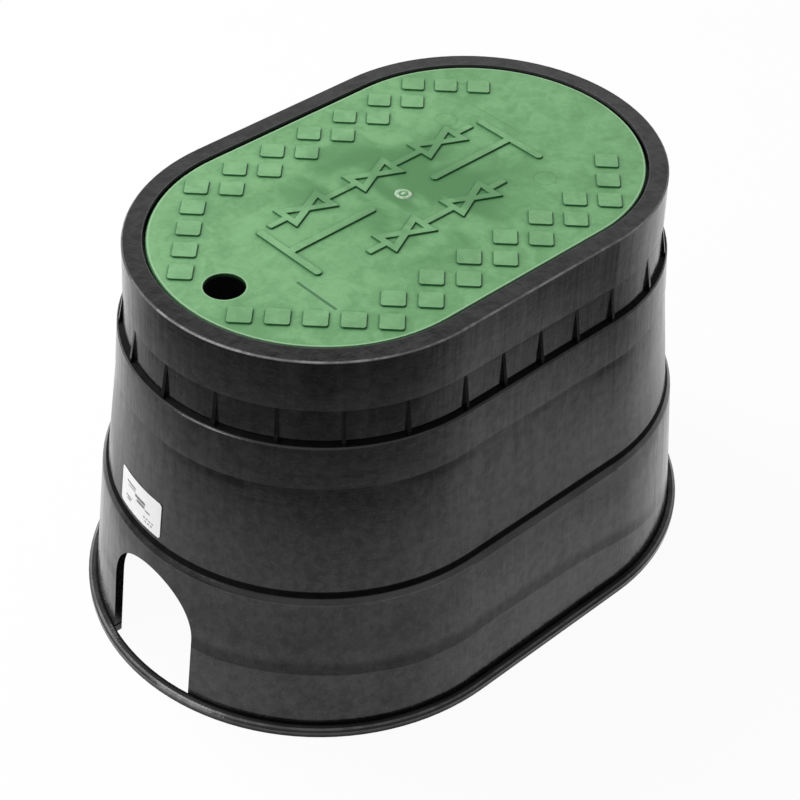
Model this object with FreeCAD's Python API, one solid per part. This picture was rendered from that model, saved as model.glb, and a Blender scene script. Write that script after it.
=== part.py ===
import FreeCAD, Part
import math
import os

# Irrigation valve box: an open-bottomed oval plastic box that is set in the ground over a valve, with a
# drop-in lid level with the grass. Units are millimetres. The origin is on the ground under the middle of
# the box, +X runs along the oval away from the finger hole, and +Z is up.
#
# Every level of the box is an oval of the same family: two half circles whose centres are ARC_SPACING apart,
# joined by straight sides. A radius below always means the half circles' radius at that level.

# Oval and heights
ARC_SPACING = 146.0
BOX_HEIGHT = 305.0
COLLAR_HEIGHT = 39.0
BAND_HEIGHT = 27.0
BELT_HEIGHT = 32.5
LOWER_LEDGE = 114.0

# Walls, with the draft of each in degrees
COLLAR_RADIUS = 133.4
WALL = 6.5
COLLAR_DRAFT = 1.6
BAND_DRAFT = 4.2
BELT_DRAFT = 4.8
TIER_DRAFT = 7.0
FOOT_DRAFT = 5.7
BAND_STEP = 0.5
BELT_STEP = 0.5

# Sloping ledges, whose heights above are those of their outer edges
UPPER_LEDGE_WIDTH = 4.1
UPPER_LEDGE_DROP = 2.6
LOWER_LEDGE_WIDTH = 4.5
LOWER_LEDGE_DROP = 6.9
LEDGE_EDGE_CUT = 0.8

# Foot flange
FLANGE_WIDTH = 5.9
FLANGE_HEIGHT = 6.5
FLANGE_EDGE_CUT = 2.2

# Gussets on the upper ledge
GUSSET_THICKNESS = 2.6
GUSSET_INSET = 0.9
GUSSET_END_MARGIN = 3.0
GUSSETS_PER_SIDE = 5
GUSSETS_PER_END = 9

# Pipe slots, one in each end
SLOT_WIDTH = 85.0
SLOT_BELOW_LEDGE = 14.0

# Lid and its seat
RIM_WIDTH = 13.8
LID_GAP = 2.0
LID_DEPTH = 15.0
LID_PLATE = 3.0
LID_EDGE_CUT = 0.8
SKIRT_WALL = 5.0
SEAT_WIDTH = 10.0
SEAT_THICKNESS = 6.0
RIM_EDGE_CUT = 1.2

# Relief on the lid, level with the rim
RELIEF = 1.2
TREAD_SIDE = 16.0
TREAD_CORNER_CUT = 1.2
TREAD_PITCH = 17.0
TREAD_ROW_INSET = 20.0
TREADS_PER_ROW = 7
TREADS_ROUND_HOLE_END = 3
TREADS_ROUND_FAR_END = 1
BAR_WIDTH = 5.5
BAR_END_CUT = 1.6
CROSSBAR_X = 103.5
CROSSBAR_LENGTH = 62.0
STEM_START = 27.0
GATE_RADIUS = 5.5
GATE_HEIGHT = 0.9

# Finger hole
FINGER_HOLE_RADIUS = 14.0
FINGER_HOLE_INSET = 32.8

# Ribs under the lid
RIB_THICKNESS = 3.0
RIB_DEPTH = 8.0
RIB_PITCH = 60.0

# Label on the end wall
LABEL_WIDTH = 50.0
LABEL_HEIGHT = 29.0
LABEL_THICKNESS = 0.3
LABEL_GLUE = 0.2
LABEL_OFFSET_Y = 18.8
LABEL_ABOVE_LEDGE = 4.7
LABEL_CORNER_CUT = 1.5

# How far a cutting shape runs past what it cuts
OVERCUT = 1.0

# Sizes that follow from those above
HALF_SPACING = ARC_SPACING / 2
GUSSET_TOP = BOX_HEIGHT - COLLAR_HEIGHT
UPPER_LEDGE = GUSSET_TOP - BAND_HEIGHT
BELT_FOOT = UPPER_LEDGE - BELT_HEIGHT
SLOT_HEIGHT = LOWER_LEDGE - SLOT_BELOW_LEDGE
GUSSET_PITCH = (ARC_SPACING - 2 * GUSSET_END_MARGIN) / (GUSSETS_PER_SIDE - 1)
UPPER_LEDGE_TOP = UPPER_LEDGE + UPPER_LEDGE_DROP
LOWER_LEDGE_TOP = LOWER_LEDGE + LOWER_LEDGE_DROP


def slope(draft):
    """How much a wall with this draft in degrees widens for each millimetre down."""
    return math.tan(math.radians(draft))


COLLAR_FOOT_RADIUS = COLLAR_RADIUS + slope(COLLAR_DRAFT) * COLLAR_HEIGHT
BAND_TOP_RADIUS = COLLAR_FOOT_RADIUS - BAND_STEP
BAND_FOOT_RADIUS = BAND_TOP_RADIUS + slope(BAND_DRAFT) * (GUSSET_TOP - UPPER_LEDGE_TOP)
BELT_TOP_RADIUS = BAND_FOOT_RADIUS + UPPER_LEDGE_WIDTH
BELT_FOOT_RADIUS = BELT_TOP_RADIUS + slope(BELT_DRAFT) * BELT_HEIGHT
MID_TIER_TOP_RADIUS = BELT_FOOT_RADIUS - BELT_STEP
MID_TIER_FOOT_RADIUS = MID_TIER_TOP_RADIUS + slope(TIER_DRAFT) * (BELT_FOOT - LOWER_LEDGE_TOP)
FOOT_TIER_TOP_RADIUS = MID_TIER_FOOT_RADIUS + LOWER_LEDGE_WIDTH
FOOT_TIER_FOOT_RADIUS = FOOT_TIER_TOP_RADIUS + slope(FOOT_DRAFT) * LOWER_LEDGE
FLANGE_RADIUS = FOOT_TIER_FOOT_RADIUS + FLANGE_WIDTH
SEAT_BORE_RADIUS = COLLAR_RADIUS - RIM_WIDTH
SEAT_INNER_RADIUS = SEAT_BORE_RADIUS - SEAT_WIDTH
LID_RADIUS = SEAT_BORE_RADIUS - LID_GAP
LID_TOP = BOX_HEIGHT - RELIEF
SEAT_HEIGHT = LID_TOP - LID_DEPTH
LID_UNDERSIDE = LID_TOP - LID_PLATE
TREAD_ROW = LID_RADIUS - TREAD_ROW_INSET
FINGER_HOLE_X = FINGER_HOLE_INSET - HALF_SPACING - LID_RADIUS
UP = FreeCAD.Vector(0, 0, 1)


def point(x, y, z=0.0):
    return FreeCAD.Vector(x, y, z)


def profile(corners):
    """Closed face in the plane y = 0 from (radius, height) corners."""
    outline = [point(radius, 0, height) for radius, height in corners]
    return Part.Face(Part.makePolygon(outline + outline[:1]))


def oval_sweep(face):
    """Carry a (radius, height) profile once round the oval: two half turns and two straight runs."""
    near = face.copy()
    near.rotate(point(0, 0), UP, -90)
    pieces = []
    for side in (1, -1):
        end = near.copy()
        end.rotate(point(0, 0), UP, 90 - 90 * side)
        end.translate(point(side * HALF_SPACING, 0))
        pieces.append(end.revolve(point(side * HALF_SPACING, 0), UP, 180))
        pieces.append(end.extrude(point(-side * ARC_SPACING, 0)))
    return pieces[0].multiFuse(pieces[1:]).removeSplitter()


def outer_wall(height):
    """Outside radius of the wall at a height below the belt."""
    if height < LOWER_LEDGE:
        return FOOT_TIER_TOP_RADIUS + slope(FOOT_DRAFT) * (LOWER_LEDGE - height)
    return MID_TIER_TOP_RADIUS + slope(TIER_DRAFT) * (BELT_FOOT - height)


def ledge_edge(radius, height, tilt, draft):
    """The outer edge of a ledge, cut off between the tilted ledge and the drafted wall below it."""
    return [
        (radius + slope(draft) * LEDGE_EDGE_CUT, height - LEDGE_EDGE_CUT),
        (radius - LEDGE_EDGE_CUT, height + tilt * LEDGE_EDGE_CUT),
    ]


def wall_profile():
    """Section of the moulded wall, outside from the ground up and inside from the seat down."""
    lower_tilt = LOWER_LEDGE_DROP / LOWER_LEDGE_WIDTH
    upper_tilt = UPPER_LEDGE_DROP / UPPER_LEDGE_WIDTH
    shelf_foot = SEAT_HEIGHT - SEAT_THICKNESS
    inner_band_radius = BAND_TOP_RADIUS - WALL
    shelf_slope_foot = shelf_foot - (inner_band_radius - SEAT_INNER_RADIUS)
    outside = [
        (FOOT_TIER_FOOT_RADIUS, 0),
        *ledge_edge(FOOT_TIER_TOP_RADIUS, LOWER_LEDGE, lower_tilt, FOOT_DRAFT),
        (MID_TIER_FOOT_RADIUS, LOWER_LEDGE_TOP),
        (MID_TIER_TOP_RADIUS, BELT_FOOT),
        (BELT_FOOT_RADIUS, BELT_FOOT),
        *ledge_edge(BELT_TOP_RADIUS, UPPER_LEDGE, upper_tilt, BELT_DRAFT),
        (BAND_FOOT_RADIUS, UPPER_LEDGE_TOP),
        (BAND_TOP_RADIUS, GUSSET_TOP),
        (COLLAR_FOOT_RADIUS, GUSSET_TOP),
        (COLLAR_RADIUS + slope(COLLAR_DRAFT) * RIM_EDGE_CUT, BOX_HEIGHT - RIM_EDGE_CUT),
        (COLLAR_RADIUS - RIM_EDGE_CUT, BOX_HEIGHT),
    ]
    inside = [
        (SEAT_BORE_RADIUS, BOX_HEIGHT),
        (SEAT_BORE_RADIUS, SEAT_HEIGHT),
        (SEAT_INNER_RADIUS, SEAT_HEIGHT),
        (SEAT_INNER_RADIUS, shelf_foot),
        (inner_band_radius, shelf_slope_foot),
        (BAND_FOOT_RADIUS - WALL, UPPER_LEDGE_TOP - WALL),
        (BELT_TOP_RADIUS - WALL, UPPER_LEDGE - WALL),
        (MID_TIER_FOOT_RADIUS - WALL, LOWER_LEDGE_TOP - WALL),
        (FOOT_TIER_TOP_RADIUS - WALL, LOWER_LEDGE - WALL),
        (FOOT_TIER_FOOT_RADIUS - WALL, 0),
    ]
    return profile(outside + inside)


def flange_profile():
    """Section of the flange round the foot, outside the wall."""
    return profile([
        (FOOT_TIER_FOOT_RADIUS, 0),
        (FLANGE_RADIUS, 0),
        (FLANGE_RADIUS, FLANGE_HEIGHT - FLANGE_EDGE_CUT),
        (FLANGE_RADIUS - FLANGE_EDGE_CUT, FLANGE_HEIGHT),
        (outer_wall(FLANGE_HEIGHT), FLANGE_HEIGHT),
    ])


def slot_cutter():
    """Arch with upright sides, run through both end walls."""
    reach = HALF_SPACING + FLANGE_RADIUS
    half_width = SLOT_WIDTH / 2
    spring = SLOT_HEIGHT - half_width
    legs = Part.makeBox(2 * reach, SLOT_WIDTH, spring + OVERCUT, point(-reach, -half_width, -OVERCUT))
    crown = Part.makeCylinder(half_width, 2 * reach, point(-reach, 0, spring), point(1, 0, 0))
    return legs.fuse(crown)


def gusset():
    """One thin web in the plane y = 0, from near the ledge's outer edge up to nothing at the band's top."""
    inside = BAND_TOP_RADIUS - WALL / 2
    outside = BELT_TOP_RADIUS - GUSSET_INSET
    outline = Part.makePolygon([
        point(inside, 0, UPPER_LEDGE - WALL / 2),
        point(outside, 0, UPPER_LEDGE - WALL / 2),
        point(outside, 0, UPPER_LEDGE),
        point(BAND_TOP_RADIUS, 0, GUSSET_TOP),
        point(inside, 0, GUSSET_TOP),
        point(inside, 0, UPPER_LEDGE - WALL / 2),
    ])
    web = Part.Face(outline).extrude(point(0, GUSSET_THICKNESS, 0))
    web.translate(point(0, -GUSSET_THICKNESS / 2))
    return web


def gussets():
    """Webs at one pitch along the sides and at one angle round the ends."""
    webs = []
    for side in (1, -1):
        for i in range(GUSSETS_PER_SIDE):
            web = gusset()
            web.rotate(point(0, 0), UP, 90 * side)
            web.translate(point((i - (GUSSETS_PER_SIDE - 1) / 2) * GUSSET_PITCH, 0))
            webs.append(web)
        for i in range(GUSSETS_PER_END):
            web = gusset()
            web.rotate(point(0, 0), UP, 90 - 90 * side - 90 + 180 * (i + 1) / (GUSSETS_PER_END + 1))
            web.translate(point(side * HALF_SPACING, 0))
            webs.append(web)
    return webs


def box_body():
    wall = oval_sweep(wall_profile())
    wall = wall.cut(slot_cutter())
    flange = oval_sweep(flange_profile())
    return wall.multiFuse([flange] + gussets()).removeSplitter()


def oval_plate(radius, foot, top):
    """Solid oval between two heights."""
    middle = Part.makeBox(ARC_SPACING, 2 * radius, top - foot, point(-HALF_SPACING, -radius, foot))
    ends = [Part.makeCylinder(radius, top - foot, point(side * HALF_SPACING, 0, foot)) for side in (1, -1)]
    return middle.multiFuse(ends).removeSplitter()


def lid_shell():
    """Plate with a skirt round its edge that stands on the seat."""
    plate = oval_plate(LID_RADIUS, SEAT_HEIGHT, LID_TOP)
    top_edges = [edge for edge in plate.Edges if edge.BoundBox.ZMin > LID_UNDERSIDE]
    plate = plate.makeChamfer(LID_EDGE_CUT, top_edges)
    return plate.cut(oval_plate(LID_RADIUS - SKIRT_WALL, SEAT_HEIGHT, LID_UNDERSIDE))


def rib(start, end):
    """Upright rib under the plate between two plan points."""
    along = end - start
    depth = RIB_DEPTH + LID_PLATE / 2
    blade = Part.makeBox(along.Length, RIB_THICKNESS, depth, point(0, -RIB_THICKNESS / 2))
    blade.rotate(point(0, 0), UP, math.degrees(math.atan2(along.y, along.x)))
    blade.translate(point(start.x, start.y, LID_UNDERSIDE - RIB_DEPTH))
    return blade


def lid_ribs():
    """Cross ribs, and lengthwise ribs beside the finger hole, that end in the skirt."""
    reach = LID_RADIUS - SKIRT_WALL / 2
    ribs = []
    rows = int(reach / RIB_PITCH + 0.5)
    for i in range(-rows, rows):
        y = (i + 0.5) * RIB_PITCH
        half_length = HALF_SPACING + math.sqrt(reach ** 2 - y ** 2)
        ribs.append(rib(point(-half_length, y), point(half_length, y)))
    columns = int((HALF_SPACING + reach) // RIB_PITCH)
    for i in range(-columns, columns + 1):
        x = i * RIB_PITCH
        past_centre = max(0.0, abs(x) - HALF_SPACING)
        half_length = math.sqrt(reach ** 2 - past_centre ** 2)
        ribs.append(rib(point(x, -half_length), point(x, half_length)))
    return ribs


def raised(outline):
    """Relief on the lid from a plan face, sunk half the plate so that it joins it."""
    face = outline.copy()
    face.translate(point(0, 0, LID_TOP - LID_PLATE / 2))
    return face.extrude(point(0, 0, LID_PLATE / 2 + RELIEF))


def cut_rectangle(length, width, cut):
    """Plan face about the origin, a rectangle with its corners cut off."""
    half_length = length / 2
    half_width = width / 2
    corners = []
    for x, y in ((1, 1), (-1, 1), (-1, -1), (1, -1)):
        on_end = point(x * half_length, y * (half_width - cut))
        on_side = point(x * (half_length - cut), y * half_width)
        corners += [on_end, on_side] if x == y else [on_side, on_end]
    return Part.Face(Part.makePolygon(corners + corners[:1]))


def on_lid(x, y, reach):
    """Whether a raised mark that reaches this far from its centre stays on the flat of the lid."""
    past_arc_centre = max(0.0, abs(x) - HALF_SPACING)
    return math.hypot(past_arc_centre, y) + reach < LID_RADIUS - LID_EDGE_CUT


def tread_places():
    """Centres of the tread squares: two staggered rows a side that run on singly round the ends."""
    places = []
    for side in (1, -1):
        for i in range(TREADS_PER_ROW):
            places.append((TREAD_PITCH * (2 * i - TREADS_PER_ROW + 1), side * TREAD_ROW))
        for i in range(TREADS_PER_ROW + 1):
            places.append((TREAD_PITCH * (2 * i - TREADS_PER_ROW), side * (TREAD_ROW - TREAD_PITCH)))
        for end, count in ((-1, TREADS_ROUND_HOLE_END), (1, TREADS_ROUND_FAR_END)):
            for i in range(count):
                x = TREAD_PITCH * (TREADS_PER_ROW + 1 + i)
                places.append((end * x, side * (TREAD_ROW - TREAD_PITCH * (2 + i))))
    return [place for place in places if on_lid(place[0], place[1], TREAD_SIDE / math.sqrt(2))]


def treads():
    squares = []
    for x, y in tread_places():
        square = cut_rectangle(TREAD_SIDE, TREAD_SIDE, TREAD_CORNER_CUT)
        square.rotate(point(0, 0), UP, 45)
        square.translate(point(x, y))
        squares.append(raised(square))
    return squares


def bar(start_x, end_x, y):
    """Raised bar along X."""
    face = cut_rectangle(end_x - start_x, BAR_WIDTH, BAR_END_CUT)
    face.translate(point((start_x + end_x) / 2, y))
    return raised(face)


def frame_bars():
    """Two crossbars with stems that point at the middle of the lid."""
    bars = []
    for end in (1, -1):
        cross = cut_rectangle(BAR_WIDTH, CROSSBAR_LENGTH, BAR_END_CUT)
        cross.translate(point(end * CROSSBAR_X, 0))
        near, far = sorted((end * STEM_START, end * CROSSBAR_X))
        bars.append(raised(cross).fuse(bar(near, far, 0)))
    return bars


def gate_mark():
    return Part.makeCone(GATE_RADIUS, GATE_RADIUS / 2, GATE_HEIGHT, point(0, 0, LID_TOP))


def lid():
    relief = treads() + frame_bars() + [gate_mark()]
    shape = lid_shell().multiFuse(lid_ribs() + relief)
    hole = Part.makeCylinder(FINGER_HOLE_RADIUS, BOX_HEIGHT, point(FINGER_HOLE_X, 0, 0))
    return shape.cut(hole).removeSplitter()


def label():
    """Thin sticker on the end wall, a rectangle with cut corners seen from the end."""
    foot = LOWER_LEDGE_TOP + LABEL_ABOVE_LEDGE
    top = foot + LABEL_HEIGHT
    low = foot - OVERCUT
    high = top + OVERCUT
    back = LABEL_GLUE
    front = LABEL_GLUE + LABEL_THICKNESS
    skin = profile([
        (outer_wall(low) + back, low),
        (outer_wall(low) + front, low),
        (outer_wall(high) + front, high),
        (outer_wall(high) + back, high),
    ])
    outline = cut_rectangle(LABEL_HEIGHT, LABEL_WIDTH, LABEL_CORNER_CUT)
    outline.rotate(point(0, 0), point(0, 1, 0), -90)
    outline.translate(point(0, LABEL_OFFSET_Y, (foot + top) / 2))
    cutter = outline.extrude(point(-HALF_SPACING - FLANGE_RADIUS, 0))
    return oval_sweep(skin).common(cutter)


def main():
    os.makedirs("parts", exist_ok=True)
    for name, build in (("box_body", box_body), ("lid", lid), ("label", label)):
        shape = build()
        solids = shape.Solids
        print(name, "valid", shape.isValid(), "solids", len(solids), "volume", round(shape.Volume))
        solids[0].exportStep("parts/" + name + ".step")


main()
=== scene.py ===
import math
import bpy
from mathutils import Matrix, Vector


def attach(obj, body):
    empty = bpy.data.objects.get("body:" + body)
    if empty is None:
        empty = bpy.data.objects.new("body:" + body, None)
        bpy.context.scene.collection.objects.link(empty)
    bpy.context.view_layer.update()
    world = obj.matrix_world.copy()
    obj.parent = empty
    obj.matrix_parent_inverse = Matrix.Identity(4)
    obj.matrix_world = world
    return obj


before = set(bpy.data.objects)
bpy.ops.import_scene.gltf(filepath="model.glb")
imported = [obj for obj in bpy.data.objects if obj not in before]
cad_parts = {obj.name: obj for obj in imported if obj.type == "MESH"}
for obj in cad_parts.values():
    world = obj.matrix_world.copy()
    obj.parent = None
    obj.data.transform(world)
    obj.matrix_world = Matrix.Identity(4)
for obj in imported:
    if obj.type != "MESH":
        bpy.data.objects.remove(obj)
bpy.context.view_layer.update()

# Looks of the irrigation valve box: satin black moulded body, mottled green lid and a small white label.
# Units are metres. The frame is the model's: the ground under the middle of the box, +X along the oval
# away from the finger hole, +Z up.

# Sizes of the box that the looks follow. A radius is that of the oval's round ends.
HALF_SPACING = 0.073
BOX_HEIGHT = 0.305
LID_TOP = 0.3038
LID_RADIUS = 0.1176
COLLAR_RADIUS = 0.1334
RIM_INNER_RADIUS = 0.1196
GUSSET_TOP = 0.266
UPPER_LEDGE = 0.239
UPPER_LEDGE_TOP = 0.2416
BELT_FOOT = 0.2065
LOWER_LEDGE = 0.114
LOWER_LEDGE_TOP = 0.1209
MID_TIER_TOP_RADIUS = 0.14211
MID_TIER_DRAFT = math.radians(7.0)
FLANGE_HEIGHT = 0.0065
FOOT_RADIUS = 0.1685
FINGER_HOLE_X = -0.1578
FINGER_HOLE_RADIUS = 0.014

# Greys of the body, from clean plastic to rubbed edges, with painted shade for creases and painted light for
# edges and the rim's lip
CLEAN_BLACK = 0.0018
CREASE_SHADE_BLACK = 0.0012
FOOT_GREY = 0.0115
GRAIN_GREY = 0.014
STREAK_GREY = 0.015
GRIT_GREY = 0.075
LIP_LIGHT_GREY = 0.075
EDGE_LIGHT_GREY = 0.120
SCUFF_HIGHLIGHT_GREY = 0.36
GREY_BLUENESS = 1.03

# Heights between which the duller band round the foot tier begins and ends
FOOT_BAND_START = (0.0488, 0.0500)
FOOT_BAND_END = (0.0530, 0.0680)

# Greens of the lid, with painted shade for the sides of raised forms, corners, the finger hole and two
# insert edges, and painted highlight for the lid's edges
DEEP_GREEN = (0.112, 0.288, 0.112, 1.0)
BRIGHT_GREEN = (0.190, 0.420, 0.186, 1.0)
GREEN_ROUND_GATE = (0.074, 0.225, 0.077, 1.0)
WORN_AND_LIT_GREEN = (0.310, 0.520, 0.300, 1.0)
SIDE_SHADE_GREEN = (0.046, 0.182, 0.062, 1.0)
CORNER_SHADE_GREEN = (0.034, 0.142, 0.046, 1.0)
MARK_SHADE_GREEN = (0.034, 0.135, 0.044, 1.0)
HOLE_SHADE_GREEN = (0.012, 0.045, 0.016, 1.0)

# Snapped gate, label film and its print
SNAPPED_GREEN = (0.200, 0.400, 0.195, 1.0)
SNAPPED_PALE = (0.520, 0.640, 0.500, 1.0)
FILM_DULL = (0.88, 0.88, 0.88, 1.0)
FILM_WHITE = (0.94, 0.94, 0.94, 1.0)
FILM_SMUDGE = (0.55, 0.55, 0.55, 1.0)
INK_DARK = (0.05, 0.05, 0.05, 1.0)
INK_FADED = (0.34, 0.34, 0.35, 1.0)

# Marks that the mould left on the lid, lines of painted shade along two insert edges, and the reach of the
# painted shade in corners
DARK_FLOW_PLACE = (-0.176, -0.038)
EJECTOR_X = 0.088
EJECTOR_YS = (0.048, -0.050)
EJECTOR_RADIUS = 0.008
LEFT_STEP_X = (-0.1204, -0.1188)
LEFT_STEP_Y = (-0.064, -0.028)
RIGHT_STEP_X = (0.1158, 0.1162)
RIGHT_STEP_Y = (0.005, 0.050)
STEP_END_EASE = 0.002
CORNER_SHADE_REACH = 0.006

# Raised valve signs on the lid
SIGN_ROWS = ((3, 0.030), (2, -0.034))
SIGN_HALF_LENGTH = 0.019
SIGN_HALF_HEIGHT = 0.0125
SIGN_WAIST = 0.0036
SIGN_STROKE = 0.0050
SIGN_PITCH = 0.062
SIGN_OVERHANG = 0.014
SIGN_ROUND = 0.0004
SIGN_SINK = 0.0005

# Ringed scar over the gate: radius and height of each ring, and how uneven it is
WHORL_RINGS = (
    (0.0062, -0.0002), (0.0060, 0.0002), (0.0050, 0.0009), (0.0042, 0.0010),
    (0.0032, 0.0005), (0.0022, 0.0006), (0.0014, 0.0011), (0.0006, 0.0012),
)
WHORL_STEPS = 36
WHORL_LOBE = 0.06
WHORL_TWIST = 700
WHORL_RIPPLE = 0.03

# Label: its middle, how far its face stands off the wall, and its bars: across, up, length and width
LABEL_PLACE_Y = 0.0188
LABEL_PLACE_Z = 0.1401
LABEL_PROUD = 0.0005
BAR_HALF_DEPTH = 0.00004
BAR_STEPS = 6
LABEL_BARS = [
    (-0.0110, 0.0075, 0.012, 0.0014), (-0.0100, 0.0050, 0.009, 0.0010), (0.0010, 0.0030, 0.013, 0.0024),
    (0.0020, 0.0000, 0.010, 0.0022), (0.0105, -0.0015, 0.006, 0.0012), (-0.0135, -0.0050, 0.008, 0.0012),
    (-0.0135, -0.0072, 0.005, 0.0012),
]
DASH_PITCH = 0.0032
LABEL_BARS += [(0.007 + DASH_PITCH * i, -0.0075, 0.002, 0.0010) for i in range(4)]
LABEL_BARS += [(0.009 + DASH_PITCH * i, -0.0102, 0.002, 0.0010) for i in range(3)]

# Softening of moulded edges
BODY_EDGE_ROUND = 0.0007
LID_EDGE_ROUND = 0.00058
EDGE_SEGMENTS = 3
EDGE_ANGLE = math.radians(24)
WELD_REACH = 0.00002
FLAT_ANGLE = math.radians(0.3)

# Camera
CAMERA_PLACE = Vector((-0.78914, -0.79593, 1.08224))
CAMERA_FORWARD = Vector((0.53572, 0.53667, -0.65191))
CAMERA_ROLL = 0.04422
CAMERA_LENS = 89.487
SENSOR_WIDTH = 36.0
CLIP_NEAR = 0.05
CLIP_FAR = 60.0

# Floor, room and backdrop. The ranges are radii of the oval, apart from SLOT_SIDE, which runs along X.
WHITE = (1.0, 1.0, 1.0, 1.0)
FLOOR_REACH = 12.0
FLOOR_COLOUR = (0.86, 0.86, 0.86, 1.0)
FLOOR_ROUGHNESS = 0.9
FLOOR_WHITE_SHARE = 0.95
FLOOR_DIM = 0.08
FLOOR_NEAR = (0.35, 0.56)
FLOOR_FAR = (0.9, 2.0)
FOOTPRINT_EDGE = (0.150, 0.164)
SHADOW_START = (0.248, 0.256)
SHADOW_END = (0.256, 0.340)
SHADOW_DEPTH = 0.25
WALL_RADIUS = (0.130, 0.150)
SLOT_SIDE = (0.126, 0.150)
ROOM_LEVEL = 0.22
BACKDROP_LEVEL = 0.65
DIAGONAL = math.sqrt(0.5)

# Soft boxes: name, place, the point that each shines at, length of a side, and power
LAMPS = (
    ("key", (-0.30, 1.20, 2.00), (0.0, 0.0, 0.25), 1.0, 37.0),
    ("fill", (-1.70, 0.30, 0.90), (0.0, 0.0, 0.15), 0.8, 9.0),
)


def camera():
    """The view from above the near end, at one side."""
    forward = CAMERA_FORWARD.normalized()
    level = forward.cross(Vector((0, 0, 1))).normalized()
    upright = level.cross(forward)
    right = math.cos(CAMERA_ROLL) * level + math.sin(CAMERA_ROLL) * upright
    up = math.cos(CAMERA_ROLL) * upright - math.sin(CAMERA_ROLL) * level
    data = bpy.data.cameras.new("camera")
    data.lens = CAMERA_LENS
    data.sensor_width = SENSOR_WIDTH
    data.clip_start = CLIP_NEAR
    data.clip_end = CLIP_FAR
    made = bpy.data.objects.new("camera", data)
    turn = Matrix((right, up, -forward)).transposed()
    made.matrix_world = Matrix.Translation(CAMERA_PLACE) @ turn.to_4x4()
    bpy.context.scene.collection.objects.link(made)
    bpy.context.scene.camera = made


class Shade:
    """A node tree, of a material or the world, and short calls for the nodes that it is made of."""

    def __init__(self, owner, place="Object"):
        owner.use_nodes = True
        self.owner = owner
        self.tree = owner.node_tree
        self.surface = self.tree.nodes.get("Principled BSDF")
        self.place = self.tree.nodes.new("ShaderNodeTexCoord").outputs[place]

    def node(self, kind, **settings):
        made = self.tree.nodes.new(kind)
        for key, value in settings.items():
            setattr(made, key, value)
        return made

    def feed(self, socket, value):
        """Link a socket, or set it where the value is a plain number or colour."""
        if isinstance(value, bpy.types.NodeSocket):
            self.tree.links.new(value, socket)
        else:
            socket.default_value = value

    def give(self, name, value):
        """Feed one of the surface's own sockets."""
        self.feed(self.surface.inputs[name], value)

    def calc(self, operation, first, second=0.0, third=0.0):
        """One step of arithmetic on up to three values."""
        made = self.node("ShaderNodeMath", operation=operation)
        for socket, value in zip(made.inputs, (first, second, third)):
            self.feed(socket, value)
        return made.outputs[0]

    def plus(self, first, value, share):
        """A value, with a share of another added."""
        return self.calc("MULTIPLY_ADD", value, share, first)

    def times(self, *values):
        product = values[0]
        for value in values[1:]:
            product = self.calc("MULTIPLY", product, value)
        return product

    def most(self, *values):
        """The largest of several values."""
        largest = values[0]
        for value in values[1:]:
            largest = self.calc("MAXIMUM", largest, value)
        return largest

    def vector(self, operation, first, second=(0.0, 0.0, 0.0)):
        made = self.node("ShaderNodeVectorMath", operation=operation)
        self.feed(made.inputs[0], first)
        self.feed(made.inputs[1], second)
        return made.outputs["Value"] if operation == "LENGTH" else made.outputs["Vector"]

    def stretched(self, x, y, z):
        """The place in the model's frame, scaled along each axis."""
        return self.vector("MULTIPLY", self.place, (x, y, z))

    def noise(self, scale=1.0, detail=3.0, rough=0.5, warp=0.0, vector=None):
        made = self.node("ShaderNodeTexNoise")
        self.feed(made.inputs["Vector"], vector or self.place)
        made.inputs["Scale"].default_value = scale
        made.inputs["Detail"].default_value = detail
        made.inputs["Roughness"].default_value = rough
        made.inputs["Distortion"].default_value = warp
        return made.outputs["Fac"]

    def span(self, value, low, high, to_low=0.0, to_high=1.0):
        """Map a value from one range to another, eased and held at both ends."""
        made = self.node("ShaderNodeMapRange", interpolation_type="SMOOTHSTEP")
        for socket, number in zip(made.inputs, (value, low, high, to_low, to_high)):
            self.feed(socket, number)
        return made.outputs["Result"]

    def within(self, value, low, high, ease):
        """One between two limits and zero outside them."""
        return self.times(self.span(value, low - ease, low), self.span(value, high, high + ease, 1.0, 0.0))

    def less(self, value, share):
        """One where a value is zero, falling to a share where it is one."""
        return self.span(value, 0.0, 1.0, 1.0, share)

    def blend(self, share, first, second):
        made = self.node("ShaderNodeMix", data_type="RGBA")
        self.feed(made.inputs["Factor"], share)
        self.feed(made.inputs["A"], first)
        self.feed(made.inputs["B"], second)
        return made.outputs["Result"]

    def bump(self, height, strength, distance, under=None):
        made = self.node("ShaderNodeBump")
        made.inputs["Strength"].default_value = strength
        made.inputs["Distance"].default_value = distance
        self.feed(made.inputs["Height"], height)
        if under is not None:
            self.feed(made.inputs["Normal"], under)
        return made.outputs["Normal"]

    def axes(self, vector=None):
        made = self.node("ShaderNodeSeparateXYZ")
        self.feed(made.inputs[0], vector or self.place)
        return made.outputs

    def from_point(self, x, y):
        """Distance in plan from a point."""
        away = self.vector("SUBTRACT", self.place, (x, y, 0.0))
        return self.vector("LENGTH", self.vector("MULTIPLY", away, (1.0, 1.0, 0.0)))

    def ring(self, x, y, radius, width):
        """A circle on the lid, one on the line and zero beside it."""
        off_line = self.calc("ABSOLUTE", self.calc("SUBTRACT", self.from_point(x, y), radius))
        return self.span(off_line, 0.0, width, 1.0, 0.0)

    def oval(self):
        """Radius of the oval through each point."""
        x, y = self.axes()[:2]
        past_centre = self.most(self.calc("SUBTRACT", self.calc("ABSOLUTE", x), HALF_SPACING), 0.0)
        return self.calc("SQRT", self.calc("ADD", self.times(past_centre, past_centre), self.times(y, y)))


def grey(level):
    return (level, level, level * GREY_BLUENESS, 1.0)


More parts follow.
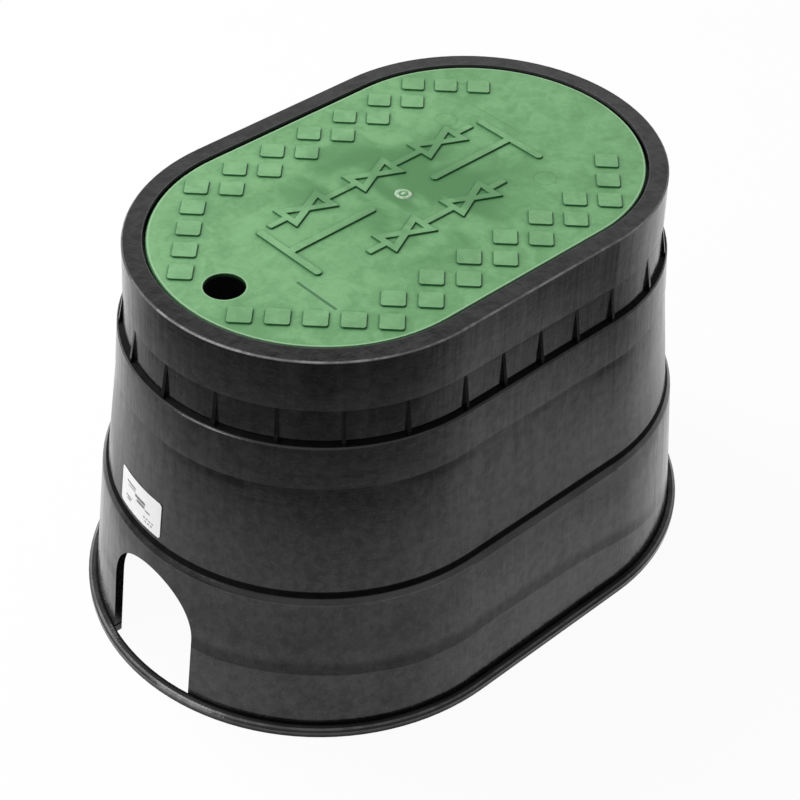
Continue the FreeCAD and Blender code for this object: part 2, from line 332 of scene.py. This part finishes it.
class BodyFinish(Shade):
    """Satin black moulded plastic: streaked walls, a scuffed rim with a painted highlight, greys that grow
    paler toward the foot, painted shade in creases and painted light on edges.
    """

    def __init__(self):
        super().__init__(bpy.data.materials.new("black_plastic"))
        self.radius = self.oval()
        self.x, self.y, self.height = self.axes()
        self.streaks = self.noise(detail=4.0, rough=0.6, warp=0.2, vector=self.stretched(95.0, 95.0, 5.0))
        self.cloud = self.noise(scale=22.0, detail=4.0, rough=0.55, warp=0.4)
        self.broad = self.noise(scale=7.0, detail=2.0)
        self.specks = self.noise(scale=620.0, detail=2.0)
        # Masks of painted light and shade: highlit edges, crease shade, shadows under steps, and scuffs with
        # a highlight.
        self.edge_light = self.painted_edge_light()
        self.crease_shade = self.painted_crease_shade()
        self.step_shadows = self.painted_step_shadows()
        self.scuff_and_highlight = self.scuffs_and_edge_highlights()
        self.colour()
        self.sheen()
        self.roughness()
        self.relief()

    def painted_edge_light(self):
        """Painted highlight: paler grey on the outer edges of both ledges and on the crown of the foot
        flange.
        """
        upper = self.within(self.height, UPPER_LEDGE - 0.0004, UPPER_LEDGE + 0.0004, 0.0006)
        lower = self.times(
            self.within(self.height, LOWER_LEDGE - 0.0002, LOWER_LEDGE_TOP - 0.0032, 0.0010),
            self.span(self.x, -0.225, -0.15, 0.2, 1.0),
        )
        crown = self.times(
            self.span(self.radius, FOOT_RADIUS + 0.0004, FOOT_RADIUS + 0.0016),
            self.within(self.height, FLANGE_HEIGHT - 0.0028, FLANGE_HEIGHT, 0.0008),
        )
        return self.most(self.times(upper, 0.6), lower, self.times(crown, 0.4))

    def painted_crease_shade(self):
        """Painted shade: dark lines in the inner corners of both ledges and above the foot flange."""
        above_flange = self.times(
            self.within(self.height, FLANGE_HEIGHT - 0.0004, FLANGE_HEIGHT + 0.0012, 0.0006),
            self.span(self.radius, FOOT_RADIUS + 0.0008, FOOT_RADIUS),
        )
        return self.most(
            self.within(self.height, UPPER_LEDGE_TOP - 0.0018, UPPER_LEDGE_TOP + 0.0010, 0.0005),
            self.within(self.height, LOWER_LEDGE_TOP - 0.0024, LOWER_LEDGE_TOP + 0.0008, 0.0012),
            above_flange,
        )

    def painted_step_shadows(self):
        """Painted shadow: thin dark lines under the steps at the collar's foot and the belt's foot, fainter
        at the near end.
        """
        feet = (GUSSET_TOP, BELT_FOOT)
        lines = [self.within(self.height, foot - 0.0003, foot + 0.0002, 0.0004) for foot in feet]
        return self.times(self.most(*lines), self.span(self.x, -0.19, -0.07, 0.25, 0.9))

    def scuffs_and_edge_highlights(self):
        """Rubbed plastic with a painted highlight on the rim's outer edge, most on the long side, and on the
        flange's edge.
        """
        rim_edge = self.times(
            self.span(self.radius, COLLAR_RADIUS - 0.0014, COLLAR_RADIUS - 0.0007),
            self.span(self.height, BOX_HEIGHT - 0.0015, BOX_HEIGHT - 0.0008),
        )
        flange_edge = self.times(
            self.within(self.radius, FOOT_RADIUS + 0.0036, FOOT_RADIUS + 0.0044, 0.0006),
            self.span(self.height, FLANGE_HEIGHT - 0.0020, FLANGE_HEIGHT - 0.0008),
            self.span(self.height, FLANGE_HEIGHT + 0.0010, FLANGE_HEIGHT + 0.0004),
        )
        nicks = self.span(self.noise(scale=55.0, detail=4.0, rough=0.7, warp=0.8), 0.40, 0.60, 0.55, 1.0)
        worn = self.span(self.noise(scale=9.0, detail=2.0), 0.42, 0.60)
        rubbed = self.most(self.plus(0.3, worn, 0.7), self.times(self.span(self.y, -0.10, -0.13), 0.9))
        return self.times(self.most(rim_edge, self.times(flange_edge, 0.5)), nicks, rubbed)

    def smooth_bands(self):
        """Duller bands: one round the foot tier that dips to the far end, and one under the belt."""
        wander = self.plus(self.calc("SUBTRACT", self.height, 0.008), self.broad, 0.016)
        wander = self.calc("ADD", wander, self.span(self.x, 0.02, 0.21, 0.0, 0.026))
        foot_band = self.times(
            self.span(wander, *FOOT_BAND_START),
            self.span(wander, *FOOT_BAND_END, 1.0, 0.0),
        )
        belt_band = self.times(
            self.span(self.height, BELT_FOOT - 0.0110, BELT_FOOT - 0.0040),
            self.span(self.height, BELT_FOOT, BELT_FOOT - 0.0010),
            self.span(self.broad, 0.40, 0.55),
            self.span(self.y, 0.02, -0.06),
        )
        return self.most(foot_band, belt_band)

    def colour(self):
        # Greys grow paler toward the foot, in clouds.
        toward_foot = self.times(
            self.span(self.height, 0.24, 0.02),
            self.span(self.cloud, 0.25, 0.75, 0.25, 1.0),
        )
        base = self.blend(toward_foot, grey(CLEAN_BLACK), grey(FOOT_GREY))
        streaked = self.times(
            self.span(self.streaks, 0.48, 0.70),
            self.span(self.broad, 0.35, 0.65, 0.2, 0.8),
        )
        base = self.blend(streaked, base, grey(STREAK_GREY))
        grit = self.times(
            self.span(self.specks, 0.62, 0.72),
            self.span(self.height, 0.26, 0.0, 0.15, 0.60),
        )
        base = self.blend(grit, base, grey(GRIT_GREY))
        # Painted highlight on the rounded outer edges of the ledges and on the flange's crown.
        edge_light = self.times(self.edge_light, self.span(self.cloud, 0.3, 0.7, 0.55, 1.0))
        base = self.blend(edge_light, base, grey(EDGE_LIGHT_GREY))
        grain = self.noise(scale=1500.0, detail=2.0, rough=0.6)
        base = self.blend(self.times(self.span(grain, 0.35, 0.75), 0.35), base, grey(GRAIN_GREY))
        # Painted shade in the creases and under the steps.
        base = self.blend(self.most(self.crease_shade, self.step_shadows), base, grey(CREASE_SHADE_BLACK))
        # Rubbed grey, with a painted highlight, on the rim's and the flange's edges.
        base = self.blend(self.scuff_and_highlight, base, grey(SCUFF_HIGHLIGHT_GREY))
        # Painted light on the collar's inner wall just under the rim.
        lit_lip = self.times(
            self.span(self.radius, RIM_INNER_RADIUS + 0.0008, RIM_INNER_RADIUS),
            self.span(self.height, LID_TOP - 0.0016, LID_TOP - 0.0004),
        )
        self.give("Base Color", self.blend(self.times(lit_lip, 0.8), base, grey(LIP_LIGHT_GREY)))

    def sheen(self):
        mottle = self.noise(scale=150.0, detail=4.0, rough=0.68, warp=0.3)
        broad_streaks = self.noise(detail=2.0, warp=0.3, vector=self.stretched(34.0, 34.0, 3.0))
        sheen = self.plus(0.28, self.span(mottle, 0.3, 0.7), 0.20)
        sheen = self.plus(sheen, self.span(self.cloud, 0.3, 0.7), 0.06)
        sheen = self.plus(sheen, self.span(broad_streaks, 0.3, 0.7), 0.08)
        flange_foot = self.times(
            self.span(self.radius, FOOT_RADIUS + 0.003, FOOT_RADIUS + 0.004),
            self.span(self.height, 0.0026, 0.0018),
        )
        for zone, share in ((self.smooth_bands(), 0.5), (self.crease_shade, 0.3), (flange_foot, 0.4)):
            sheen = self.times(sheen, self.less(zone, share))
        self.give("Specular IOR Level", sheen)
        self.give("IOR", 1.5)

    def roughness(self):
        rough = self.plus(0.13, self.span(self.streaks, 0.3, 0.7), 0.05)
        rough = self.plus(rough, self.span(self.cloud, 0.3, 0.7), 0.05)
        dull = ((self.crease_shade, 0.75), (self.step_shadows, 0.6), (self.edge_light, 0.34), (self.scuff_and_highlight, 0.55))
        for zone, level in dull:
            rough = self.most(rough, self.times(zone, level))
        self.give("Roughness", rough)

    def relief(self):
        fine_streaks = self.noise(rough=0.6, warp=0.1, vector=self.stretched(420.0, 420.0, 14.0))
        level_lines = self.noise(detail=2.0, vector=self.stretched(6.0, 6.0, 420.0))
        normal = self.bump(self.cloud, 0.20, 0.0016)
        normal = self.bump(self.streaks, 0.45, 0.0008, normal)
        normal = self.bump(fine_streaks, 0.12, 0.0002, normal)
        normal = self.bump(level_lines, 0.10, 0.0002, normal)
        normal = self.bump(self.specks, 0.25, 0.00012, normal)
        normal = self.bump(self.scuff_and_highlight, 0.5, 0.0003, normal)
        self.give("Normal", normal)


class LidFinish(Shade):
    """Matt green moulded plastic: mottled, darker round the gate, worn paler on its raised faces, with a
    painted highlight on its edge and painted shade on the sides of raised forms.
    """

    def __init__(self):
        super().__init__(bpy.data.materials.new("green_plastic"))
        self.radius = self.oval()
        self.x, self.y, self.height = self.axes()
        self.broad = self.noise(scale=15.0, warp=1.0)
        self.middling = self.noise(scale=60.0, rough=0.55, warp=0.8)
        self.fine = self.noise(scale=240.0, detail=4.0, rough=0.62, warp=0.6)
        self.marks_and_shade = self.marks_and_step_shade()
        # Mottled green, worn paler and with painted highlights, then painted shade laid over it.
        base = self.painted_shade(self.worn_and_highlit(self.mottled()))
        # Dark mould marks, and painted shade along two insert edges.
        self.give("Base Color", self.blend(self.times(self.marks_and_shade, 0.85), base, MARK_SHADE_GREEN))
        self.give("Roughness", self.plus(0.40, self.fine, 0.18))
        self.give("Specular IOR Level", 0.35)
        self.relief()

    def marks_and_step_shade(self):
        """Faint rings of the ejector pins, and painted shade along the edges of two inserts."""
        rings = [self.ring(EJECTOR_X, y, EJECTOR_RADIUS, 0.0010) for y in EJECTOR_YS]
        # Lines of painted shade along the edges of two inserts.
        left_step_shade = self.times(
            self.within(self.x, *LEFT_STEP_X, 0.0007),
            self.within(self.y, *LEFT_STEP_Y, STEP_END_EASE),
        )
        right_step_shade = self.times(
            self.within(self.x, *RIGHT_STEP_X, 0.0005),
            self.within(self.y, *RIGHT_STEP_Y, STEP_END_EASE),
        )
        return self.most(self.times(self.most(*rings), 0.35), left_step_shade, self.times(right_step_shade, 0.4))

    def mottled(self):
        """Flow clouds of three sizes, darker by the finger hole and round the gate."""
        by_hole = self.span(self.from_point(*DARK_FLOW_PLACE), 0.004, 0.034, 1.0, 0.0)
        tone = self.times(self.span(self.broad, 0.30, 0.70), 0.34)
        tone = self.plus(tone, self.span(self.middling, 0.36, 0.64), 0.36)
        tone = self.plus(tone, self.span(self.fine, 0.30, 0.70), 0.30)
        tone = self.plus(tone, by_hole, -0.40)
        base = self.blend(self.span(tone, -0.1, 1.0), DEEP_GREEN, BRIGHT_GREEN)
        from_gate = self.vector("LENGTH", self.stretched(1.0, 1.2, 0.0))
        round_gate = self.times(
            self.span(from_gate, 0.012, 0.135, 1.0, 0.0),
            self.span(self.broad, 0.35, 0.62, 1.0, 0.25),
        )
        return self.blend(self.span(round_gate, 0.0, 0.70), base, GREEN_ROUND_GATE)

    def worn_and_highlit(self, base):
        """Wear on raised faces, and a painted highlight on the lid's outer edge and round the finger hole.
        """
        raised = self.span(self.height, BOX_HEIGHT - 0.0005, BOX_HEIGHT - 0.0001)
        # Painted highlight on the lid's outer edge.
        edge = self.times(
            self.span(self.radius, LID_RADIUS - 0.0025, LID_RADIUS - 0.0018),
            self.span(self.height, LID_TOP - 0.0018, LID_TOP - 0.0008),
        )
        # Painted highlight round the finger hole.
        hole_edge_highlight = self.ring(FINGER_HOLE_X, 0.0, FINGER_HOLE_RADIUS + 0.0006, 0.0009)
        wear_and_highlight = self.most(self.times(raised, 0.10), self.times(edge, 0.85), self.times(hole_edge_highlight, 0.6))
        return self.blend(wear_and_highlight, base, WORN_AND_LIT_GREEN)

    def painted_shade(self, base):
        """Painted shade: deeper green on the sides of raised forms, in their corners and in the finger hole.
        """
        # Painted shade on the sides of raised forms.
        facing_up = self.axes(self.node("ShaderNodeNewGeometry").outputs["Normal"])[2]
        side = self.times(
            self.span(facing_up, 0.985, 0.82),
            self.span(self.height, LID_TOP - 0.0003, LID_TOP),
        )
        base = self.blend(self.times(side, 0.85), base, SIDE_SHADE_GREEN)
        # Painted shade in corners, from the occlusion of nearby faces.
        corner = self.node("ShaderNodeAmbientOcclusion", samples=8)
        corner.inputs["Distance"].default_value = CORNER_SHADE_REACH
        base = self.blend(self.span(corner.outputs["AO"], 0.70, 0.995, 0.95, 0.0), base, CORNER_SHADE_GREEN)
        # Painted shade on the finger hole's inner wall.
        from_hole = self.from_point(FINGER_HOLE_X, 0.0)
        hole_shade = self.times(
            self.span(from_hole, FINGER_HOLE_RADIUS + 0.0009, FINGER_HOLE_RADIUS + 0.0004),
            self.span(self.height, LID_TOP - 0.0004, LID_TOP - 0.0009),
        )
        return self.blend(hole_shade, base, HOLE_SHADE_GREEN)

    def relief(self):
        grain = self.noise(scale=1100.0, detail=2.0)
        normal = self.bump(self.fine, 0.25, 0.0003)
        normal = self.bump(grain, 0.2, 0.0001, normal)
        normal = self.bump(self.middling, 0.2, 0.0008, normal)
        normal = self.bump(self.marks_and_shade, 0.6, -0.0004, normal)
        self.give("Normal", normal)


def pale_gate():
    """Green plastic gone pale where the gate was snapped off."""
    shade = Shade(bpy.data.materials.new("pale_gate"))
    chips = shade.noise(scale=700.0, rough=0.6, warp=1.0)
    shade.give("Base Color", shade.blend(shade.span(chips, 0.38, 0.60), SNAPPED_GREEN, SNAPPED_PALE))
    shade.give("Roughness", shade.span(chips, 0.3, 0.7, 0.35, 0.5))
    shade.give("Normal", shade.bump(chips, 0.4, 0.0003))
    return shade.owner


def label_film():
    """White film with a faint sheen."""
    shade = Shade(bpy.data.materials.new("label_film"))
    grain = shade.noise(scale=400.0, detail=2.0)
    smudge = shade.noise(scale=90.0, rough=0.6, warp=0.5)
    base = shade.blend(grain, FILM_DULL, FILM_WHITE)
    base = shade.blend(shade.times(shade.span(smudge, 0.5, 0.8), 0.15), base, FILM_SMUDGE)
    shade.give("Base Color", base)
    shade.give("Roughness", 0.35)
    shade.give("Normal", shade.bump(grain, 0.1, 0.00005))
    return shade.owner


def label_ink():
    """Grey print, a little uneven."""
    shade = Shade(bpy.data.materials.new("label_ink"))
    patch = shade.noise(scale=900.0, detail=2.0)
    shade.give("Base Color", shade.blend(shade.span(patch, 0.35, 0.65), INK_DARK, INK_FADED))
    shade.give("Roughness", 0.45)
    return shade.owner


def dress(name, material):
    """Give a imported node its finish."""
    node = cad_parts[name]
    node.data.materials.clear()
    node.data.materials.append(material)
    return node


def soften(node, size):
    """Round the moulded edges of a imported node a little, and shade its curved faces smooth."""
    weld = node.modifiers.new("weld", "WELD")
    weld.merge_threshold = WELD_REACH
    flat = node.modifiers.new("flat", "DECIMATE")
    flat.decimate_type = "DISSOLVE"
    flat.angle_limit = FLAT_ANGLE
    edge = node.modifiers.new("edge", "BEVEL")
    edge.width = size
    edge.segments = EDGE_SEGMENTS
    edge.limit_method = "ANGLE"
    edge.angle_limit = EDGE_ANGLE
    edge.harden_normals = True
    edge.use_clamp_overlap = True
    normals = node.modifiers.new("normals", "WEIGHTED_NORMAL")
    normals.mode = "FACE_AREA"
    normals.keep_sharp = True


def add_piece(name, mesh, material):
    """Link a new piece of the box and let it ride with the body."""
    made = bpy.data.objects.new(name, mesh)
    bpy.context.scene.collection.objects.link(made)
    mesh.materials.clear()
    mesh.materials.append(material)
    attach(made, "root")


def sign_outlines(count, y):
    """Plan outlines of a pipe line with valve signs on it: the outside, and two holes for each sign."""
    half_pipe = SIGN_STROKE / 2
    tops = []
    holes = []
    for i in range(count):
        x = (i - (count - 1) / 2) * SIGN_PITCH
        tops += [
            (x - SIGN_HALF_LENGTH, half_pipe),
            (x - SIGN_HALF_LENGTH, SIGN_HALF_HEIGHT),
            (x, SIGN_WAIST),
            (x + SIGN_HALF_LENGTH, SIGN_HALF_HEIGHT),
            (x + SIGN_HALF_LENGTH, half_pipe),
        ]
        for side in (1, -1):
            flat_end = x + side * (SIGN_HALF_LENGTH - SIGN_STROKE)
            tip = x + side * SIGN_STROKE
            slope = (SIGN_HALF_HEIGHT - SIGN_WAIST) / SIGN_HALF_LENGTH
            reach = slope * (SIGN_HALF_LENGTH - 2 * SIGN_STROKE)
            holes.append([(flat_end, y + reach), (tip, y), (flat_end, y - reach)])
    half_line = (count - 1) / 2 * SIGN_PITCH + SIGN_HALF_LENGTH + SIGN_OVERHANG
    tops = [(-half_line, half_pipe)] + tops + [(half_line, half_pipe)]
    outside = [(x, y + h) for x, h in tops] + [(x, y - h) for x, h in reversed(tops)]
    return [outside] + holes


def signs(material):
    """Raised valve signs on two pipe lines, level with the treads."""
    curve = bpy.data.curves.new("sign_outline", "CURVE")
    curve.dimensions = "2D"
    curve.fill_mode = "BOTH"
    height = BOX_HEIGHT - LID_TOP + SIGN_SINK
    curve.extrude = height / 2 - SIGN_ROUND
    curve.bevel_depth = SIGN_ROUND
    curve.bevel_resolution = 1
    curve.offset = -SIGN_ROUND
    for outline in [outline for row in SIGN_ROWS for outline in sign_outlines(*row)]:
        line = curve.splines.new("POLY")
        line.points.add(len(outline) - 1)
        for corner, (x, y) in zip(line.points, outline):
            corner.co = (x, y, 0.0, 1.0)
        line.use_cyclic_u = True
    drawn = bpy.data.objects.new("sign_outline", curve)
    mesh = bpy.data.meshes.new_from_object(drawn)
    bpy.data.objects.remove(drawn)
    mesh.transform(Matrix.Translation((0.0, 0.0, BOX_HEIGHT - height / 2)))
    add_piece("lid_signs", mesh, material)


def gate_whorl(material):
    """Low ringed scar over the gate in the middle of the lid."""
    steps = WHORL_STEPS
    verts = []
    for radius, height in WHORL_RINGS:
        for i in range(steps):
            angle = 2 * math.pi * i / steps
            lobes = WHORL_LOBE * math.sin(2 * angle + WHORL_TWIST * radius)
            uneven = 1 + lobes + WHORL_RIPPLE * math.sin(5 * angle)
            lift = LID_TOP + min(height * uneven, BOX_HEIGHT - LID_TOP)
            verts.append((radius * uneven * math.cos(angle), radius * uneven * math.sin(angle), lift))
    faces = [tuple(reversed(range(steps)))]
    for j in range(len(WHORL_RINGS) - 1):
        for i in range(steps):
            k = (i + 1) % steps
            faces.append((j * steps + i, j * steps + k, (j + 1) * steps + k, (j + 1) * steps + i))
    faces.append(tuple(range(len(verts) - steps, len(verts))))
    mesh = bpy.data.meshes.new("gate_whorl")
    mesh.from_pydata(verts, [], faces)
    mesh.shade_smooth()
    add_piece("gate_whorl", mesh, material)


def wall_point(y, z, proud):
    """A point on the end wall above the pipe slot, so far out from the wall."""
    radius = MID_TIER_TOP_RADIUS + math.tan(MID_TIER_DRAFT) * (BELT_FOOT - z) + proud
    return (-HALF_SPACING - math.sqrt(radius ** 2 - y ** 2), y, z)


def label_print(material):
    """Plain bars on the label: a short heading, a dark block and thin broken lines."""
    verts = []
    faces = []
    for across, up, length, width in LABEL_BARS:
        first = len(verts)
        last = first + 4 * BAR_STEPS
        for i in range(BAR_STEPS + 1):
            y = LABEL_PLACE_Y - across - length / 2 + length * i / BAR_STEPS
            for side, face in ((-1, 1), (1, 1), (1, -1), (-1, -1)):
                z = LABEL_PLACE_Z + up + side * width / 2
                verts.append(wall_point(y, z, LABEL_PROUD + face * BAR_HALF_DEPTH))
        for here in range(first, last, 4):
            for j in range(4):
                k = (j + 1) % 4
                faces.append((here + j, here + k, here + 4 + k, here + 4 + j))
        faces.append((first + 3, first + 2, first + 1, first))
        faces.append((last, last + 1, last + 2, last + 3))
    mesh = bpy.data.meshes.new("label_print")
    mesh.from_pydata(verts, [], faces)
    add_piece("label_print", mesh, material)


def mirrored_floor(shade, radius):
    """Painted brightness of the floor in reflections: bright near the box and behind it, dim in front, with
    a painted shadow ring round the box and dark under it.
    """
    x, y = shade.axes()[:2]
    toward_back = shade.times(shade.calc("ADD", x, y), DIAGONAL)
    behind = shade.times(shade.span(toward_back, -0.22, 0.28), shade.span(radius, *FLOOR_FAR, 1.0, 0.4))
    near = shade.span(radius, *FLOOR_NEAR, 1.0, FLOOR_DIM)
    clear_of_box = shade.span(radius, *FOOTPRINT_EDGE)
    shadow_edge = shade.times(shade.span(radius, *SHADOW_START), shade.span(radius, *SHADOW_END, 1.0, 0.0))
    return shade.times(shade.most(near, behind), clear_of_box, shade.plus(1.0, shadow_edge, -SHADOW_DEPTH))


def pale_floor():
    """White floor that keeps a faint shadow, and is dark inside the box away from the slots."""
    shade = Shade(bpy.data.materials.new("pale_floor"))
    shade.give("Base Color", FLOOR_COLOUR)
    shade.give("Roughness", FLOOR_ROUGHNESS)
    radius = shade.oval()
    white = shade.node("ShaderNodeEmission")
    ray = shade.node("ShaderNodeLightPath").outputs
    glossy_only = shade.calc("SUBTRACT", ray["Is Glossy Ray"], ray["Is Camera Ray"])
    shade.feed(white.inputs["Strength"], shade.blend(glossy_only, WHITE, mirrored_floor(shade, radius)))
    from_middle = shade.calc("ABSOLUTE", shade.axes()[0])
    lit = shade.most(shade.span(radius, *WALL_RADIUS), shade.span(from_middle, *SLOT_SIDE))
    seen = shade.most(ray["Is Camera Ray"], ray["Is Glossy Ray"], ray["Is Transmission Ray"])
    mix = shade.node("ShaderNodeMixShader")
    shade.feed(mix.inputs[0], shade.times(seen, FLOOR_WHITE_SHARE, lit))
    shade.feed(mix.inputs[1], shade.surface.outputs[0])
    shade.feed(mix.inputs[2], white.outputs[0])
    shade.feed(shade.tree.nodes["Material Output"].inputs["Surface"], mix.outputs[0])
    return shade.owner


def floor():
    """Plain pale floor that fills the background."""
    mesh = bpy.data.meshes.new("floor")
    corners = [(x * FLOOR_REACH, y * FLOOR_REACH, 0) for x, y in ((-1, -1), (1, -1), (1, 1), (-1, 1))]
    mesh.from_pydata(corners, [], [(0, 1, 2, 3)])
    mesh.materials.append(pale_floor())
    made = bpy.data.objects.new("floor", mesh)
    bpy.context.scene.collection.objects.link(made)


def lamp(name, place, aim, size, power):
    """Square soft box that shines from a place at a point."""
    data = bpy.data.lights.new(name, "AREA")
    data.shape = "RECTANGLE"
    data.size = size
    data.size_y = size
    data.energy = power
    made = bpy.data.objects.new(name, data)
    made.location = place
    made.rotation_euler = (Vector(aim) - Vector(place)).to_track_quat("-Z", "Y").to_euler()
    bpy.context.scene.collection.objects.link(made)


def studio():
    """A bright backdrop behind the box, a dim room round it, and a soft box high at one side."""
    world = bpy.data.worlds.new("surroundings")
    bpy.context.scene.world = world
    shade = Shade(world, "Generated")
    x, y, z = shade.axes()
    behind = shade.span(shade.times(shade.calc("ADD", x, y), DIAGONAL), -0.1, 0.35)
    low = shade.span(z, 0.58, 0.74, 1.0, 0.0)
    level = shade.plus(ROOM_LEVEL, shade.times(behind, low), BACKDROP_LEVEL)
    ray = shade.node("ShaderNodeLightPath").outputs
    background = shade.tree.nodes["Background"]
    shade.feed(background.inputs["Color"], WHITE)
    shade.feed(background.inputs["Strength"], shade.most(level, ray["Is Camera Ray"]))
    for values in LAMPS:
        lamp(*values)


bpy.context.scene.view_settings.view_transform = "Standard"
camera()
green = LidFinish().owner
soften(dress("box_body", BodyFinish().owner), BODY_EDGE_ROUND)
soften(dress("lid", green), LID_EDGE_ROUND)
dress("label", label_film())
signs(green)
gate_whorl(pale_gate())
label_print(label_ink())
floor()
studio()
